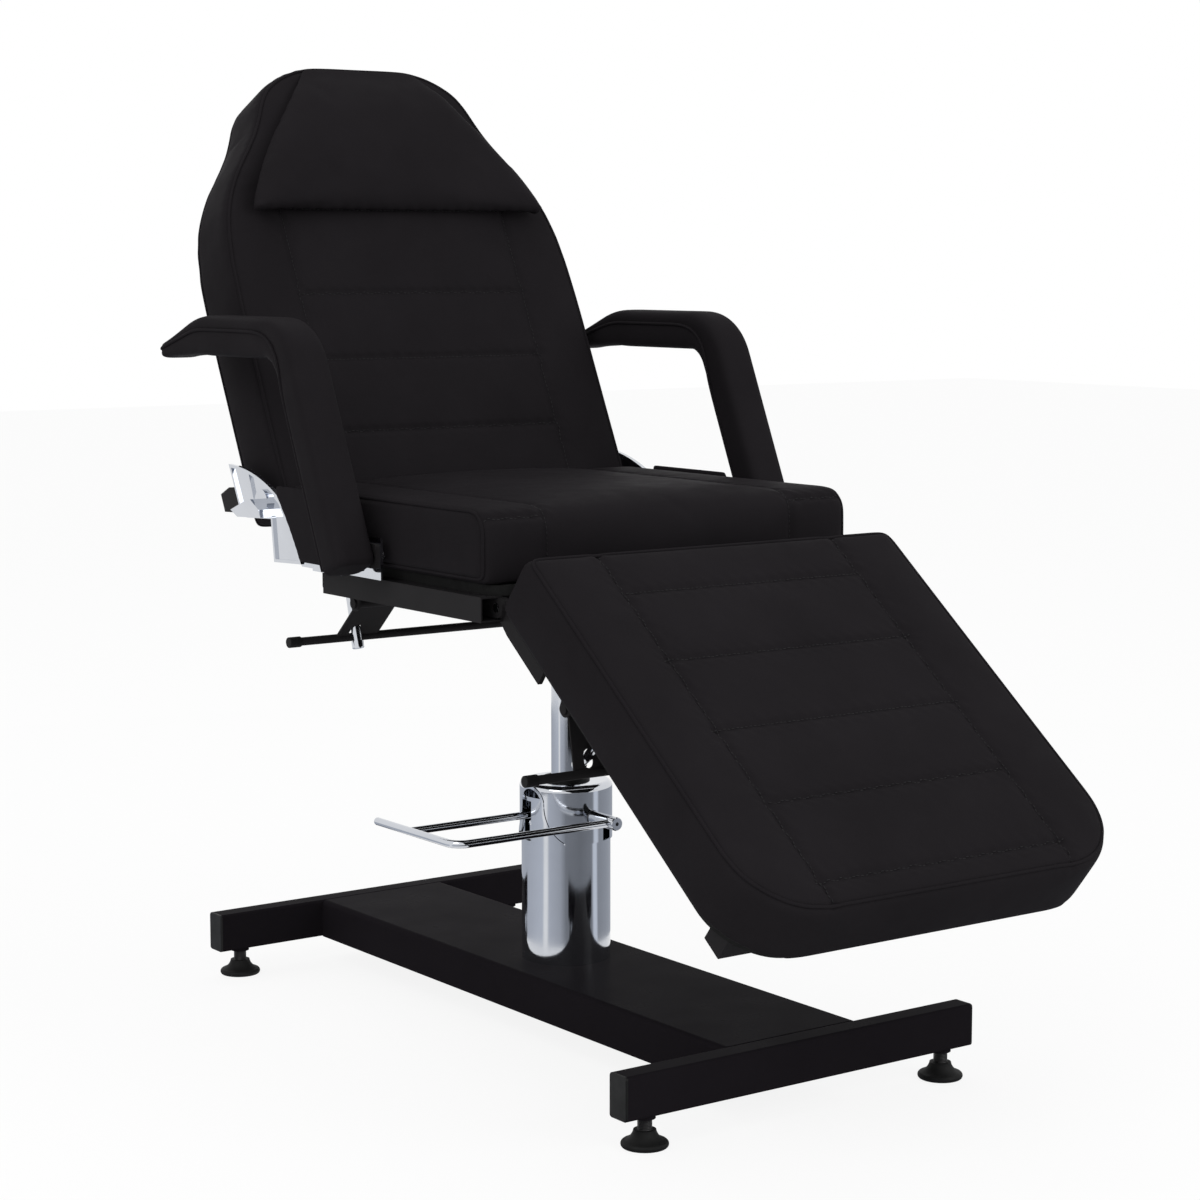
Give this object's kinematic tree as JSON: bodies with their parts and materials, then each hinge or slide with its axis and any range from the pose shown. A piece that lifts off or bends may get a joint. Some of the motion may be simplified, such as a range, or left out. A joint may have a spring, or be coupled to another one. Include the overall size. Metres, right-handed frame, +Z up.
{
  "type": "tattoo chair",
  "caption": "Upholstered tattoo client chair with pump lift on an H-shaped base, reclining waisted back with head pillow, folding leg rest and padded armrests.",
  "frame": {"origin": "on the floor on the pump's axis, at the centre of the base", "axes": "+Z up, -Y towards the foot end that the sitter faces, +X towards the sitter's left"},
  "size_m": [0.72, 1.3419, 1.2651],
  "materials": {
    "base_paint": "satin powder coat",
    "frame_paint": "satin powder coat",
    "chrome": "polished",
    "pump_steel": "dark oiled steel",
    "bolt_steel": "zinc plated",
    "rubber": "matt",
    "cap_plastic": "matt",
    "leatherette": "smooth coated leatherette",
    "board": "black lined plywood"
  },
  "bodies": {
    "base": {"front_cross_tube": "base_paint", "rear_cross_tube": "base_paint", "tube_end_caps": "cap_plastic", "base_plate": "base_paint", "foot_bushes": "base_paint", "pump_body": "pump_steel", "pump_bolts": "bolt_steel", "piston_guide": "cap_plastic", "lower_cover": "chrome", "upper_cover": "chrome", "pedal_axle": "pump_steel"},
    "foot_front_right": {"foot_pad_front_right": "rubber", "foot_stem_front_right": "frame_paint"},
    "foot_front_left": {"foot_pad_front_left": "rubber", "foot_stem_front_left": "frame_paint"},
    "foot_rear_right": {"foot_pad_rear_right": "rubber", "foot_stem_rear_right": "frame_paint"},
    "foot_rear_left": {"foot_pad_rear_left": "rubber", "foot_stem_rear_left": "frame_paint"},
    "pedal": {"pump_pedal": "chrome"},
    "pump_plunger": {"plunger": "chrome"},
    "lift": {"piston": "chrome"},
    "seat": {"swivel_hub": "frame_paint", "seat_plate": "frame_paint", "plate_bolts": "bolt_steel", "seat_frame": "frame_paint", "seat_board": "board", "seat_cushion": "leatherette", "left_bracket": "chrome", "right_bracket": "chrome", "bracket_bolts": "bolt_steel", "left_arm_core": "frame_paint", "right_arm_core": "frame_paint", "left_arm_pad": "leatherette", "right_arm_pad": "leatherette", "left_side_panel": "leatherette", "right_side_panel": "leatherette", "leg_hinge_pins": "bolt_steel", "back_lock_housings": "frame_paint", "back_lever_brackets": "frame_paint"},
    "back": {"back_frame": "frame_paint", "back_hinge_arms": "frame_paint", "back_board": "board", "back_cushion": "leatherette", "head_pillow": "leatherette"},
    "leg_rest": {"leg_frame": "frame_paint", "leg_tongues": "frame_paint", "leg_board": "board", "leg_cushion": "leatherette", "leg_lock_housings": "frame_paint", "leg_lever_brackets": "frame_paint"},
    "back_lever": {"back_release": "frame_paint", "back_release_grips": "rubber"},
    "back_rods": {"back_lock_rods": "chrome"},
    "leg_lever": {"leg_release": "frame_paint", "leg_release_grips": "rubber"},
    "leg_rods": {"leg_lock_rods": "chrome"}
  },
  "joints": [
    {"name": "foot_front_right_screw", "type": "slide", "parent": "base", "child": "foot_front_right", "axis": [0, 0, 1], "range_m": [-0.01, 0.008]},
    {"name": "foot_front_left_screw", "type": "slide", "parent": "base", "child": "foot_front_left", "axis": [0, 0, 1], "range_m": [-0.01, 0.008]},
    {"name": "foot_rear_right_screw", "type": "slide", "parent": "base", "child": "foot_rear_right", "axis": [0, 0, 1], "range_m": [-0.01, 0.008]},
    {"name": "foot_rear_left_screw", "type": "slide", "parent": "base", "child": "foot_rear_left", "axis": [0, 0, 1], "range_m": [-0.01, 0.008]},
    {"name": "pedal_pivot", "type": "hinge", "parent": "base", "child": "pedal", "pos_m": [0, -0.087, 0.281], "axis": [0, 1, 0], "range_deg": [-24, 0], "stiffness_Nm_per_rad": 6, "springref_deg": 14.32},
    {"name": "plunger_slide", "type": "slide", "parent": "base", "child": "pump_plunger", "axis": [0, 0, 1], "range_m": [-0.023, 0.0005]},
    {"name": "piston_lift", "type": "slide", "parent": "base", "child": "lift", "axis": [0, 0, 1], "range_m": [-0.13, 0.03]},
    {"name": "seat_swivel", "type": "hinge", "parent": "lift", "child": "seat", "pos_m": [0, 0, 0.565], "axis": [0, 0, 1], "continuous": true},
    {"name": "back_recline", "type": "hinge", "parent": "seat", "child": "back", "pos_m": [0, 0.251, 0.68], "axis": [1, 0, 0], "range_deg": [-65, 0]},
    {"name": "leg_fold", "type": "hinge", "parent": "seat", "child": "leg_rest", "pos_m": [0, -0.222, 0.587], "axis": [1, 0, 0], "range_deg": [-38, 6]},
    {"name": "back_lever_pivot", "type": "hinge", "parent": "seat", "child": "back_lever", "pos_m": [0, 0.165, 0.55], "axis": [1, 0, 0], "range_deg": [-6, 0], "stiffness_Nm_per_rad": 5, "springref_deg": 17.19},
    {"name": "back_rod_slide", "type": "slide", "parent": "seat", "child": "back_rods", "axis": [0, 0.2689, 0.9632], "range_m": [-0.007, 0.0005]},
    {"name": "leg_lever_pivot", "type": "hinge", "parent": "leg_rest", "child": "leg_lever", "pos_m": [0, -0.3035, 0.47447], "axis": [-1, 0, 0], "range_deg": [-6, 0], "stiffness_Nm_per_rad": 5, "springref_deg": 17.19},
    {"name": "leg_rod_slide", "type": "slide", "parent": "leg_rest", "child": "leg_rods", "axis": [0, -0.8049, 0.5934], "range_m": [-0.007, 0.0005]}
  ],
  "couplings": [
    {"joint": "plunger_slide", "follows": "pedal_pivot", "m_per_rad": 0.0535},
    {"joint": "back_rod_slide", "follows": "back_lever_pivot", "m_per_rad": 0.051},
    {"joint": "leg_rod_slide", "follows": "leg_lever_pivot", "m_per_rad": 0.051}
  ]
}
